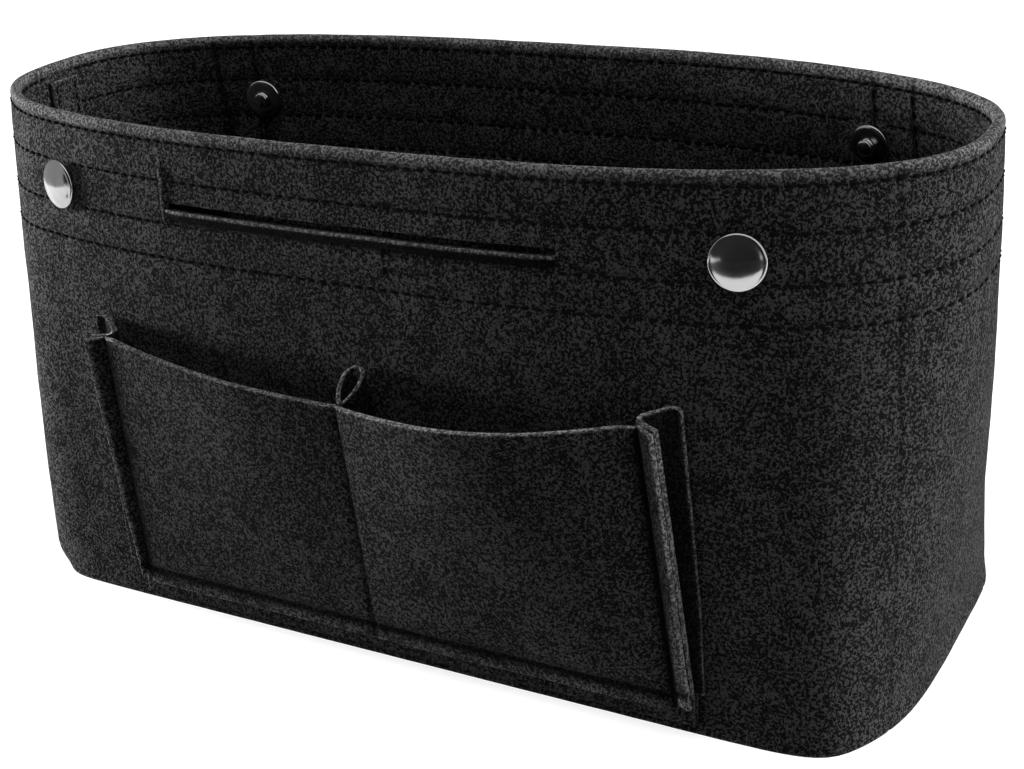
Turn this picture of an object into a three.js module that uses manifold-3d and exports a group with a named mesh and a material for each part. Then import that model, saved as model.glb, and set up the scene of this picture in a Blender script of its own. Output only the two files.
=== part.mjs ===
import * as THREE from 'three';
import { mergeVertices } from 'three/addons/utils/BufferGeometryUtils.js';
import Module from 'manifold-3d';

// A felt organizer that stands inside a handbag: an open oval tub of doubled felt
// with a two-bay bellows pocket and a slit pocket on its front, two rows of slip
// pockets inside, a stiffened base and four press fasteners near its corners.
// Millimetres, +Z up, +X along the length, the pocketed front faces -Y.
// The origin is the middle of the base's underside.

// Tub, measured over the outside of the felt
const height = 142.5;
const baseLength = 271;
const baseDepth = 113;
const rimLength = 286;
const rimDepth = 112;
// Exponents of the two plan outlines: a rounded rectangle below, an oval above
const baseCornerShare = 7;
const rimCornerShare = 2.55;

// Felt and the clearance between pieces that lie on each other
const felt = 1.5;
const layerGap = 0.3;
const cutOverrun = 2;

// Base: felt outside, a stiff board, felt inside
const basePanelThickness = 1.8;
const boardThickness = 1.5;
const baseLiningThickness = 1.5;
const basePlateClearance = 1;

// Strips that cover the two side seams on the inside
const seamStripWidth = 12;
const seamStripTopDrop = 5;

// Slit pocket between the two leaves of the front wall. Drops are measured down
// from the rim, and insets in from the ends of the tub.
const slitInset = 86;
const slitLength = rimLength - 2 * slitInset;
const slitDrop = 21.5;
const slitFoot = height - slitDrop;
const slitHeight = 2;
const weltHeight = 2.6;
const weltThickness = 1;

// Bellows pocket on the front
const pocketDrop = 56;
const pocketTop = height - pocketDrop;
const pocketFoot = 7.5;
const pocketTopInset = 58.5;
const pocketHalfTop = rimLength / 2 - pocketTopInset;
const pocketFootInset = 48;
const pocketHalfFoot = baseLength / 2 - pocketFootInset;
const seamBorder = 5;
const borderFlare = 1.2;
const sideLean = 3.6;
const middleLean = 7;
const leftBayCrown = 3;
const rightBayCrown = 8.2;
const bayCrownShare = 0.9;
const crownRiseShare = 1.2;
const middleSag = 6.2;
const sagShare = 0.7;
const flangeTopWidth = 4;
const flangeFootWidth = 3;
const gussetSpread = 1;
const flangeLift = 1;
const flangeFoot = 3.5;
const footStripRise = 4;

// Loop of thin felt that ties the middle of the pocket to the wall
const dividerFelt = 1.2;
const dividerWidth = 7;
const dividerFoot = 24;

// Slip pockets inside
const backRowDrop = 56.5;
const backRowTop = height - backRowDrop;
const frontRowDrop = 62.5;
const frontRowTop = height - frontRowDrop;
const rowInset = 40;
const rowHalfWidth = rimLength / 2 - rowInset;
const rowCrown = 16;
const rowCrownShare = 0.8;
const rowCrownRiseShare = 0.9;
const backBayCount = 4;
const frontBayCount = 3;

// Press fasteners
const snapInset = 44;
const snapOffset = rimLength / 2 - snapInset;
const snapDrop = 20;
const snapHeight = height - snapDrop;
const capRadius = 6.75;
const capRise = 2.3;
const capEdge = 0.7;
const postRadius = 2.1;
const postClearance = 0.3;
const postSeat = 1;
const socketRadius = 5.8;
const socketRise = 2.6;
const socketPlate = 1.1;
const socketMouthRadius = 2.7;
const studRise = 3.4;
const studRadius = 2.3;
const studNeckRadius = 1.7;

// Mesh fineness
const quarterSteps = 26;
const arcDivisions = 600;
const searchSteps = 50;
const rimSteps = 5;
const baySteps = 10;
const rowBaySteps = 8;
const riseSteps = 6;
const foldSteps = 4;
const loopSteps = 14;
const turnedSides = 28;
const domeSteps = 6;

const wallThickness = 2 * felt + layerGap;
const wallFoot = basePanelThickness + layerGap;
const boardFoot = wallFoot;
const baseLiningFoot = boardFoot + boardThickness + layerGap;
const insideFoot = baseLiningFoot + baseLiningThickness + layerGap;
const insideInset = wallThickness + layerGap;
const quarterTurn = Math.PI / 2;
const quarters = 4;

const wasm = await Module();
wasm.setup();

// Materials, one to a piece so that each can be changed alone
function feltMaterial() {
  return new THREE.MeshStandardMaterial({ color: 0x232325, roughness: 0.97, metalness: 0 });
}

function boardMaterial() {
  return new THREE.MeshStandardMaterial({ color: 0x17171a, roughness: 0.6, metalness: 0 });
}

function nickelMaterial() {
  return new THREE.MeshStandardMaterial({ color: 0xc9cbce, roughness: 0.18, metalness: 1 });
}

const organizer = new THREE.Group();

function addPiece(name, geometry, material) {
  const mesh = new THREE.Mesh(geometry, material);
  mesh.name = name;
  organizer.add(mesh);
  return mesh;
}

// Solids from rings of points

function signedVolume(positions, index) {
  const a = new THREE.Vector3();
  const b = new THREE.Vector3();
  const c = new THREE.Vector3();
  let sum = 0;
  for (let i = 0; i < index.length; i += 3) {
    a.fromArray(positions, 3 * index[i]);
    b.fromArray(positions, 3 * index[i + 1]);
    c.fromArray(positions, 3 * index[i + 2]);
    sum += a.dot(b.cross(c));
  }
  return sum;
}

// Skins equal closed rings one after the other. capShape is the ring's flat
// outline, which closes both ends, and without it the last ring meets the first.
function skinRings(rings, capShape) {
  const around = rings[0].length;
  const positions = rings.flat().flatMap((p) => [p.x, p.y, p.z]);
  const index = [];
  const spans = capShape ? rings.length - 1 : rings.length;
  for (let i = 0; i < spans; i++) {
    const here = i * around;
    const next = ((i + 1) % rings.length) * around;
    for (let j = 0; j < around; j++) {
      const k = (j + 1) % around;
      index.push(here + j, next + j, next + k, here + j, next + k, here + k);
    }
  }
  if (capShape) {
    const far = (rings.length - 1) * around;
    for (const [p, q, r] of THREE.ShapeUtils.triangulateShape(capShape, [])) {
      const ccw = THREE.ShapeUtils.isClockWise([capShape[p], capShape[q], capShape[r]]) ===
        THREE.ShapeUtils.isClockWise(capShape);
      const face = ccw ? [p, q, r] : [p, r, q];
      index.push(...face);
      index.push(...face.map((v) => far + v).reverse());
    }
  }
  if (signedVolume(positions, index) < 0) {
    index.reverse();
  }
  const geometry = new THREE.BufferGeometry();
  geometry.setAttribute('position', new THREE.Float32BufferAttribute(positions, 3));
  geometry.setIndex(index);
  return geometry;
}

// Moves each point of a flat path sideways, square to the path
function offsetPath(path, distance, closed) {
  const last = path.length - 1;
  return path.map((point, i) => {
    const before = path[i > 0 ? i - 1 : closed ? last : 0];
    const after = path[i < last ? i + 1 : closed ? 0 : last];
    const along = after.clone().sub(before).normalize();
    return new THREE.Vector2(point.x - along.y * distance, point.y + along.x * distance);
  });
}

// A sheet of felt that stands on edge. Each level gives the middle line of the
// sheet at one height, with the same count of points on every level, and how far
// each point sags below that height.
function standingSheet(levels, thickness, closed = false) {
  const side = (distance) => levels.map((level) => {
    const path = offsetPath(level.path, distance, closed);
    return path.map((point, i) => new THREE.Vector3(point.x, point.y, level.z - level.sags[i]));
  });
  const left = side(thickness / 2);
  const right = side(-thickness / 2);
  const rings = levels[0].path.map((unused, i) => {
    const up = left.map((level) => level[i]);
    const down = right.map((level) => level[i]);
    return [...up, ...down.reverse()];
  });
  if (closed) {
    return skinRings(rings);
  }
  const upShape = levels.map((level) => new THREE.Vector2(0, level.z));
  const downShape = levels.map((level) => new THREE.Vector2(thickness, level.z)).reverse();
  return skinRings(rings, [...upShape, ...downShape]);
}

function evenHeights(low, high, steps) {
  return Array.from({ length: steps + 1 }, (unused, k) => THREE.MathUtils.lerp(low, high, k / steps));
}

// Booleans

function toManifold(geometry) {
  const plain = geometry.clone();
  plain.deleteAttribute('normal');
  plain.deleteAttribute('uv');
  const merged = mergeVertices(plain);
  const mesh = new wasm.Mesh({
    numProp: 3,
    vertProperties: new Float32Array(merged.attributes.position.array),
    triVerts: new Uint32Array(merged.index.array),
  });
  return new wasm.Manifold(mesh);
}

function toGeometry(solid) {
  const mesh = solid.getMesh();
  const geometry = new THREE.BufferGeometry();
  geometry.setAttribute('position', new THREE.BufferAttribute(mesh.vertProperties, mesh.numProp));
  geometry.setIndex(new THREE.BufferAttribute(mesh.triVerts, 1));
  return geometry;
}

function cut(geometry, tools) {
  return toGeometry(tools.reduce((solid, tool) => solid.subtract(toManifold(tool)), toManifold(geometry)));
}

// Wall surface: a superellipse at the base, an oval at the rim, ruled between

class PlanQuarter extends THREE.Curve {
  constructor(halfLength, halfDepth, cornerShare) {
    super();
    this.halfLength = halfLength;
    this.halfDepth = halfDepth;
    this.cornerShare = cornerShare;
    this.arcLengthDivisions = arcDivisions;
  }

  getPoint(t, target = new THREE.Vector2()) {
    const angle = t * quarterTurn;
    const along = (Math.cos(angle) / this.halfLength) ** this.cornerShare;
    const across = (Math.sin(angle) / this.halfDepth) ** this.cornerShare;
    const reach = (along + across) ** (-1 / this.cornerShare);
    return target.set(reach * Math.cos(angle), reach * Math.sin(angle));
  }
}

// Once round: left end, front, right end, back
function planRing(length, depth, cornerShare) {
  const quarter = new PlanQuarter(length / 2, depth / 2, cornerShare).getSpacedPoints(quarterSteps);
  const outward = quarter.slice(0, quarterSteps);
  const inward = quarter.slice(1).reverse();
  const place = (points, sx, sy) => points.map((p) => new THREE.Vector2(sx * p.x, sy * p.y));
  return [
    ...place(outward, -1, -1),
    ...place(inward, 1, -1),
    ...place(outward, 1, 1),
    ...place(inward, -1, 1),
  ];
}

const baseRing = planRing(baseLength, baseDepth, baseCornerShare);
const rimRing = planRing(rimLength, rimDepth, rimCornerShare);
const stationCount = quarters * quarterSteps;

function stationPoint(index, z, inset) {
  const at = (k) => {
    const i = ((k % stationCount) + stationCount) % stationCount;
    return baseRing[i].clone().lerp(rimRing[i], z / height);
  };
  const along = at(index + 1).sub(at(index - 1)).normalize();
  return at(index).add(new THREE.Vector2(-along.y, along.x).multiplyScalar(inset));
}

// turn counts quarters from the middle of the left end: 1 is the middle of the
// front, 2 of the right end and 3 of the back. inset is measured into the tub.
function wallPoint(turn, z, inset) {
  const step = turn * quarterSteps;
  const index = Math.floor(step);
  return stationPoint(index, z, inset).lerp(stationPoint(index + 1, z, inset), step - index);
}

function wallPoint3(turn, z, inset) {
  const point = wallPoint(turn, z, inset);
  return new THREE.Vector3(point.x, point.y, z);
}

// The turn at which the wall passes x, on the front (start 0) or the back (start 2)
function turnAtX(x, z, start) {
  let low = start;
  let high = start + 2;
  const rising = wallPoint(high, z, 0).x > wallPoint(low, z, 0).x;
  for (let i = 0; i < searchSteps; i++) {
    const middle = (low + high) / 2;
    if (wallPoint(middle, z, 0).x < x === rising) {
      low = middle;
    } else {
      high = middle;
    }
  }
  return low;
}

// Both ends of a stretch and every wall station between them
function turnsBetween(start, end) {
  const first = Math.floor(start * quarterSteps) + 1;
  const turns = [start];
  for (let i = first; i / quarterSteps < end; i++) {
    turns.push(i / quarterSteps);
  }
  turns.push(end);
  return turns;
}

function frontY(x, z) {
  return wallPoint(turnAtX(x, z, 0), z, 0).y;
}

function lengthTurn(distance) {
  const quarterLength = new PlanQuarter(baseLength / 2, baseDepth / 2, baseCornerShare).getLength();
  return distance / quarterLength;
}

// Press fasteners

function snapFrame(x, start) {
  const turn = turnAtX(x, snapHeight, start);
  const side = lengthTurn(capRadius);
  const along = wallPoint3(turn + side, snapHeight, 0).sub(wallPoint3(turn - side, snapHeight, 0));
  const up = wallPoint3(turn, snapHeight + capRadius, 0).sub(wallPoint3(turn, snapHeight - capRadius, 0));
  const outward = along.cross(up).normalize();
  const seat = wallPoint3(turn, snapHeight, 0);
  const turned = new THREE.Quaternion().setFromUnitVectors(new THREE.Vector3(0, 0, 1), outward);
  return { seat, turned, outward };
}

// Turned parts are drawn as radius and height, with the height along +Z
function turnedSolid(profile) {
  const points = profile.map(([radius, rise]) => new THREE.Vector2(radius, rise));
  return new THREE.LatheGeometry(points, turnedSides).rotateX(quarterTurn);
}

// A domed cap with its post, which passes through the wall
function capGeometry() {
  const capFoot = 2 * layerGap;
  const profile = [[0, -wallThickness - postSeat], [postRadius, -wallThickness - postSeat]];
  profile.push([postRadius, capFoot], [capRadius - capEdge / 2, capFoot]);
  for (let i = 0; i <= domeSteps; i++) {
    const angle = (i / domeSteps) * quarterTurn;
    profile.push([capRadius * Math.cos(angle), capFoot + capEdge / 2 + (capRise - capEdge / 2) * Math.sin(angle)]);
  }
  profile[profile.length - 1][0] = 0;
  return turnedSolid(profile);
}

// The socket's back plate has a hole for the post, and its open mouth takes a stud
function socketGeometry() {
  const holeRadius = postRadius + postClearance;
  return turnedSolid([
    [holeRadius, 0],
    [socketRadius, 0],
    [socketRadius, socketPlate],
    [socketRadius - socketPlate, socketRise],
    [socketMouthRadius, socketRise],
    [socketMouthRadius + layerGap, socketPlate],
    [holeRadius, socketPlate],
    [holeRadius, 0],
  ]);
}

// The stud's plate has a blind hole for the post under its round head
function studGeometry() {
  const holeRadius = postRadius + postClearance;
  const profile = [[0, postSeat + layerGap], [holeRadius, postSeat + layerGap], [holeRadius, 0]];
  profile.push([socketRadius, 0], [socketRadius, socketPlate], [studRadius + socketPlate, postSeat + socketPlate]);
  profile.push([studNeckRadius + socketPlate, postSeat + socketPlate]);
  profile.push([studNeckRadius, studRise - studNeckRadius / 2]);
  profile.push([studRadius, studRise]);
  profile.push([studRadius, studRise + studNeckRadius / 2], [studNeckRadius, studRise + studNeckRadius]);
  profile.push([0, studRise + studNeckRadius]);
  return turnedSolid(profile);
}

function snapHole(frame) {
  const radius = postRadius + postClearance;
  const hole = new THREE.CylinderGeometry(radius, radius, wallThickness + 2 * cutOverrun, turnedSides);
  hole.rotateX(quarterTurn);
  hole.translate(0, 0, -wallThickness / 2);
  hole.applyQuaternion(frame.turned);
  hole.translate(frame.seat.x, frame.seat.y, frame.seat.z);
  return hole;
}

const snapStations = [
  { name: 'front_left', x: -snapOffset, start: 0, inner: 'socket' },
  { name: 'front_right', x: snapOffset, start: 0, inner: 'socket' },
  { name: 'back_left', x: -snapOffset, start: 2, inner: 'stud' },
  { name: 'back_right', x: snapOffset, start: 2, inner: 'stud' },
];

for (const station of snapStations) {
  station.frame = snapFrame(station.x, station.start);
  const cap = addPiece(`snap_cap_${station.name}`, capGeometry(), nickelMaterial());
  cap.position.copy(station.frame.seat);
  cap.quaternion.copy(station.frame.turned);

  const innerGeometry = station.inner === 'socket' ? socketGeometry() : studGeometry();
  const inner = addPiece(`snap_${station.inner}_${station.name}`, innerGeometry.rotateX(Math.PI), nickelMaterial());
  const innerSeat = wallThickness + 2 * layerGap;
  inner.position.copy(station.frame.seat).addScaledVector(station.frame.outward, -innerSeat);
  inner.quaternion.copy(station.frame.turned);
}

// Walls: each is one felt panel folded over at the rim into two leaves

// Section of a felt strip folded double, with its two raw edges at the height
// called raw and its rounded fold at the height called fold
function foldedSection(raw, fold) {
  const reach = wallThickness / 2;
  const upward = Math.sign(fold - raw);
  const bend = fold - upward * reach;
  const section = [new THREE.Vector2(0, raw)];
  for (let i = 0; i <= rimSteps; i++) {
    const angle = Math.PI - (i / rimSteps) * Math.PI;
    section.push(new THREE.Vector2(reach + reach * Math.cos(angle), bend + upward * reach * Math.sin(angle)));
  }
  section.push(new THREE.Vector2(wallThickness, raw), new THREE.Vector2(wallThickness - felt, raw));
  section.push(new THREE.Vector2(wallThickness - felt, bend), new THREE.Vector2(felt, bend));
  section.push(new THREE.Vector2(felt, raw));
  return section;
}

function sweepSection(section, turns) {
  const rings = turns.map((turn) => section.map((point) => wallPoint3(turn, point.y, point.x)));
  return skinRings(rings, section);
}

function rectangle(left, right, low, high) {
  return [[left, low], [right, low], [right, high], [left, high]].map(([x, y]) => new THREE.Vector2(x, y));
}

function wallGeometry(start) {
  const seamTurn = lengthTurn(layerGap / 2);
  const section = foldedSection(wallFoot, height);
  return sweepSection(section, turnsBetween(start + seamTurn, start + 2 - seamTurn));
}

function slitTool() {
  const start = turnAtX(-slitLength / 2, slitFoot, 0);
  const end = turnAtX(slitLength / 2, slitFoot, 0);
  const section = rectangle(-cutOverrun, felt + layerGap / 2, slitFoot, slitFoot + slitHeight);
  return sweepSection(section, turnsBetween(start, end));
}

const frontHoles = snapStations.filter((station) => station.start === 0).map((station) => snapHole(station.frame));
const backHoles = snapStations.filter((station) => station.start === 2).map((station) => snapHole(station.frame));
addPiece('front_wall', cut(wallGeometry(0), [slitTool(), ...frontHoles]), feltMaterial());
addPiece('back_wall', cut(wallGeometry(2), backHoles), feltMaterial());

// Welt: the proud lower lip of the slit
function weltGeometry() {
  const start = turnAtX(-slitLength / 2, slitFoot, 0);
  const end = turnAtX(slitLength / 2, slitFoot, 0);
  const top = slitFoot - layerGap;
  const section = rectangle(-layerGap - weltThickness, -layerGap, top - weltHeight, top);
  return sweepSection(section, turnsBetween(start, end));
}
addPiece('slit_pocket_welt', weltGeometry(), feltMaterial());

// Strips over the side seams
function seamStripGeometry(middle) {
  const half = lengthTurn(seamStripWidth / 2);
  const turns = turnsBetween(middle - half, middle + half);
  const section = rectangle(insideInset, insideInset + felt, insideFoot, height - seamStripTopDrop);
  return sweepSection(section, turns);
}
addPiece('side_seam_strip_left', seamStripGeometry(0), feltMaterial());
addPiece('side_seam_strip_right', seamStripGeometry(2), feltMaterial());

// Base: the outer panel is as large as the tub, and the walls stand on its edge
function plateGeometry(inset, foot, thickness) {
  const outline = Array.from({ length: stationCount }, (unused, i) => stationPoint(i, 0, inset));
  const geometry = new THREE.ExtrudeGeometry(new THREE.Shape(outline), { depth: thickness, bevelEnabled: false });
  return geometry.translate(0, 0, foot);
}
addPiece('base_panel', plateGeometry(0, 0, basePanelThickness), feltMaterial());
const plateInset = wallThickness + basePlateClearance;
addPiece('base_board', plateGeometry(plateInset, boardFoot, boardThickness), boardMaterial());
addPiece('base_lining', plateGeometry(plateInset, baseLiningFoot, baseLiningThickness), feltMaterial());

// Bellows pocket: the panel leans out from its foot and bulges at each bay

// The seams at the sides hold two layers of gusset between the panel and the wall
const sewnStack = 3 * layerGap + 2 * felt;

function pocketRise(z) {
  return THREE.MathUtils.clamp((z - pocketFoot) / (pocketTop - pocketFoot), 0, 1);
}

function pocketHalf(z) {
  return THREE.MathUtils.lerp(pocketHalfFoot, pocketHalfTop, pocketRise(z));
}

function pocketSeam(z) {
  return pocketHalf(z) - seamBorder;
}

// Zero at the side seams and one at the middle seam
function bayShare(x, z) {
  return THREE.MathUtils.clamp(1 - Math.abs(x) / pocketSeam(z), 0, 1);
}

// Clear depth between the wall and the panel's inner face
function pocketDepth(x, z) {
  const rise = pocketRise(z);
  const bay = bayShare(x, z);
  const bayCrown = x < 0 ? leftBayCrown : rightBayCrown;
  const crown = bayCrown * Math.sin(bay * Math.PI) ** bayCrownShare * rise ** crownRiseShare;
  const flare = borderFlare * Math.max(0, Math.abs(x) - pocketSeam(z)) / seamBorder;
  return sewnStack + (THREE.MathUtils.lerp(sideLean, middleLean, bay) + flare) * rise + crown;
}

// The panel's free edge sinks towards the middle seam
function pocketSag(x, z) {
  return middleSag * bayShare(x, z) ** sagShare * pocketRise(z) ** 2;
}

// Stations across the pocket: the sewn border at each side, then the two bays
function pocketStations(z) {
  const half = pocketHalf(z);
  const inner = pocketSeam(z);
  const side = Array.from({ length: baySteps + 1 }, (unused, i) => inner * (1 - i / baySteps));
  return [-half, ...side.map((x) => -x), ...side.slice(0, baySteps).reverse(), half];
}

function panelGeometry() {
  const levels = evenHeights(pocketFoot, pocketTop, riseSteps).map((z) => {
    const stations = pocketStations(z);
    const path = stations.map((x) => new THREE.Vector2(x, frontY(x, z) - pocketDepth(x, z) - felt / 2));
    return { z, path, sags: stations.map((x) => pocketSag(x, z)) };
  });
  return standingSheet(levels, felt);
}
addPiece('front_pocket_panel', panelGeometry(), feltMaterial());

// Gusset at each side: a border sewn behind the panel's edge, folded back at the
// seam into a leaf that runs to the wall, and a flange along the wall
function gussetPath(side, z) {
  const rise = pocketRise(z);
  const half = pocketHalf(z);
  const seam = pocketSeam(z);
  const behindPanel = (x) => frontY(x, z) - pocketDepth(x, z) + layerGap + felt / 2;
  const onWall = (x, lift) => frontY(x, z) - layerGap - felt / 2 - lift;
  const crease = half + gussetSpread * rise;
  const flange = crease + THREE.MathUtils.lerp(flangeFootWidth, flangeTopWidth, rise);
  const foldRadius = (felt + layerGap) / 2;
  const places = [[half, behindPanel(half)]];
  for (let i = 0; i <= foldSteps; i++) {
    const angle = (i / foldSteps) * Math.PI;
    const back = foldRadius * (1 - Math.cos(angle));
    places.push([seam - foldRadius * Math.sin(angle), behindPanel(seam) + back]);
  }
  places.push([crease, onWall(crease, 0)]);
  places.push([(crease + flange) / 2, onWall((crease + flange) / 2, 0)]);
  places.push([flange, onWall(flange, flangeLift * rise)]);
  return places.map(([x, y]) => new THREE.Vector2(side * x, y));
}

function gussetGeometry(side) {
  const heights = [flangeFoot, ...evenHeights(pocketFoot, pocketTop, riseSteps)];
  const levels = heights.map((z) => {
    const path = gussetPath(side, z);
    return { z, path, sags: path.map(() => 0) };
  });
  return standingSheet(levels, felt);
}
addPiece('front_pocket_gusset_left', gussetGeometry(-1), feltMaterial());
addPiece('front_pocket_gusset_right', gussetGeometry(1), feltMaterial());

// Strip under the panel's foot, folded double at its lower edge and sewn to the
// wall between the two gussets
function footStripGeometry() {
  const half = pocketSeam(pocketFoot) - (felt + layerGap) / 2 - felt - layerGap;
  const start = turnAtX(-half, pocketFoot, 0);
  const end = turnAtX(half, pocketFoot, 0);
  const section = foldedSection(pocketFoot + footStripRise, flangeFoot);
  const outside = section.map((point) => new THREE.Vector2(point.x - layerGap - wallThickness, point.y));
  return sweepSection(outside, turnsBetween(start, end));
}
addPiece('front_pocket_foot_strip', footStripGeometry(), feltMaterial());

// Divider: a loop of thin felt, broad at the wall and pinched at the panel, which
// carries it down as it sags
function dividerLevel(z) {
  const wall = frontY(0, z) - layerGap - dividerFelt / 2;
  const panel = frontY(0, z) - pocketDepth(0, z) + layerGap + dividerFelt / 2;
  const reaches = Array.from({ length: loopSteps }, (unused, i) => (1 - Math.cos((i / loopSteps) * 2 * Math.PI)) / 2);
  const path = reaches.map((reach, i) => {
    const width = (dividerWidth / 2) * Math.sin((i / loopSteps) * 2 * Math.PI) * (1 - reach / 2);
    return new THREE.Vector2(width, THREE.MathUtils.lerp(wall, panel, reach));
  });
  return { z, path, sags: reaches.map((reach) => reach * pocketSag(0, z)) };
}

function dividerGeometry() {
  return standingSheet(evenHeights(dividerFoot, pocketTop, riseSteps).map(dividerLevel), dividerFelt, true);
}
addPiece('front_pocket_divider', dividerGeometry(), feltMaterial());

// Slip pockets inside: one panel to a row, sewn flat between its bays
function slipRowGeometry(start, bayCount, top) {
  const first = turnAtX(start === 0 ? -rowHalfWidth : rowHalfWidth, top, start);
  const last = turnAtX(start === 0 ? rowHalfWidth : -rowHalfWidth, top, start);
  const steps = bayCount * rowBaySteps;
  const levels = evenHeights(insideFoot, top, riseSteps).map((z) => {
    const rise = (z - insideFoot) / (top - insideFoot);
    const path = Array.from({ length: steps + 1 }, (unused, i) => {
      const bay = (i % rowBaySteps) / rowBaySteps;
      const crown = rowCrown * Math.sin(bay * Math.PI) ** rowCrownShare * rise ** rowCrownRiseShare;
      return wallPoint(THREE.MathUtils.lerp(first, last, i / steps), z, insideInset + felt / 2 + crown);
    });
    return { z, path, sags: path.map(() => 0) };
  });
  return standingSheet(levels, felt);
}
addPiece('inside_pocket_row_back', slipRowGeometry(2, backBayCount, backRowTop), feltMaterial());
addPiece('inside_pocket_row_front', slipRowGeometry(0, frontBayCount, frontRowTop), feltMaterial());

export default organizer;
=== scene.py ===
import math

import bmesh
import bpy
import numpy as np
from mathutils import Matrix, Vector, noise


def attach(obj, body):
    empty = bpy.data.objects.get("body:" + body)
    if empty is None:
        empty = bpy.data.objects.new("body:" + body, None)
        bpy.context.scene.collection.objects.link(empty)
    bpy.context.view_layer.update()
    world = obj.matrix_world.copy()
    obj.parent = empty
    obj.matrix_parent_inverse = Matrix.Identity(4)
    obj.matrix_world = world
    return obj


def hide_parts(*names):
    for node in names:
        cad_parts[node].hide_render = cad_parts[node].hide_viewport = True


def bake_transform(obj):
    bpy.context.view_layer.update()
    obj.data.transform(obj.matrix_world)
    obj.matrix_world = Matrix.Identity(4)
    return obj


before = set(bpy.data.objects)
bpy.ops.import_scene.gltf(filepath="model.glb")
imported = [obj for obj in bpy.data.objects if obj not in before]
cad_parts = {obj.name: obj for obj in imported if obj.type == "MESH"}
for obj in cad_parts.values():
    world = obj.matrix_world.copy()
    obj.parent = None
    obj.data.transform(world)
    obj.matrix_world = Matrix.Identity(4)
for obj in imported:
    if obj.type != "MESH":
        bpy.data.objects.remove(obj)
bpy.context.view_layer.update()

# Felt. The whole organizer is cut from one charcoal needle felt: matted fibres, mottled grey on near black,
# slightly fuzzy. Folds and raw edges carry raised fibres and a painted highlight, and seams, creases and crevices
# carry painted shade.


def shader_group(name, inputs, outputs):
    tree = bpy.data.node_groups.new(name, "ShaderNodeTree")
    for label, value in inputs.items():
        socket = tree.interface.new_socket(name=label, in_out="INPUT", socket_type="NodeSocketFloat")
        socket.default_value = value
    for label in outputs:
        tree.interface.new_socket(name=label, in_out="OUTPUT", socket_type="NodeSocketFloat")
    return tree


def node(tree, kind, links=(), **values):
    """A node with its settings as keywords, and its inputs as pairs of a socket's name and a value or socket."""
    made = tree.nodes.new(kind)
    for key, value in values.items():
        setattr(made, key, value)
    for socket, source in links:
        if hasattr(source, "is_output"):
            tree.links.new(source, made.inputs[socket])
        else:
            made.inputs[socket].default_value = source
    return made


def speckle(tree, where, scale, detail, roughness, distortion=0.0):
    """A noise pattern's value over the piece."""
    inputs = {"Vector": where, "Scale": scale, "Detail": detail, "Roughness": roughness, "Distortion": distortion}
    return node(tree, "ShaderNodeTexNoise", inputs.items()).outputs["Fac"]


def mixed_value(tree, share, first, second):
    inputs = [("Factor", share), ("A", first), ("B", second)]
    return node(tree, "ShaderNodeMix", inputs, data_type="FLOAT").outputs[0]


def mixed_colour(tree, share, first, second):
    return node(tree, "ShaderNodeMix", [(0, share), (6, first), (7, second)], data_type="RGBA").outputs[2]


def fibre_group():
    tree = shader_group(
        "FeltFibre",
        {"Fibre Scale": 900.0, "Mottle Scale": 110.0, "Contrast": 3.6},
        ["Tone", "Height", "Roughness"],
    )
    given = node(tree, "NodeGroupInput").outputs
    where = node(tree, "ShaderNodeTexCoord").outputs["Object"]
    fibres = speckle(tree, where, given["Fibre Scale"], 1.5, 0.5, 0.7)
    clumps = speckle(tree, where, given["Mottle Scale"], 5.0, 0.6, 0.6)
    drawn_out = [(0, where), (1, (1.0, 1.0, 0.32))]
    upright = node(tree, "ShaderNodeVectorMath", drawn_out, operation="MULTIPLY").outputs[0]
    strands = speckle(tree, upright, 2600.0, 2.0, 0.6, 1.5)
    height = mixed_value(tree, 0.3, fibres, strands)
    blended = mixed_value(tree, 0.15, height, clumps)
    centred = node(tree, "ShaderNodeMath", [(0, blended), (1, 0.52)], operation="SUBTRACT").outputs[0]
    stretch = [(0, centred), (1, given["Contrast"]), (2, 0.5)]
    tone = node(tree, "ShaderNodeMath", stretch, operation="MULTIPLY_ADD", use_clamp=True).outputs[0]
    rough = node(tree, "ShaderNodeMapRange", [("Value", tone), ("To Min", 1.0), ("To Max", 0.86)]).outputs[0]
    done = node(tree, "NodeGroupOutput")
    for label, source in (("Tone", tone), ("Height", height), ("Roughness", rough)):
        tree.links.new(source, done.inputs[label])
    return tree


fibre = fibre_group()


def plain_material(name, settings):
    """A material of one shader, with the inputs that stay plain set by name."""
    material = bpy.data.materials.new(name)
    material.use_nodes = True
    shader = material.node_tree.nodes["Principled BSDF"]
    for label, value in settings.items():
        shader.inputs[label].default_value = value
    return material, material.node_tree, shader


def relief(tree, shader, height, strength, distance):
    raised = node(tree, "ShaderNodeBump", [("Height", height), ("Strength", strength), ("Distance", distance)])
    tree.links.new(raised.outputs[0], shader.inputs["Normal"])


def grey(tone):
    return (tone, tone, tone, 1.0)


# Tones: the fibres' dark and light, raised fibres with a painted highlight, and painted shade.
felt_dark = grey(0.0048)
felt_light = grey(0.0455)
felt_raised_highlight = grey(0.145)
felt_shade = grey(0.0006)
felt_sheen = (0.55, 0.55, 0.56, 1.0)


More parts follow.
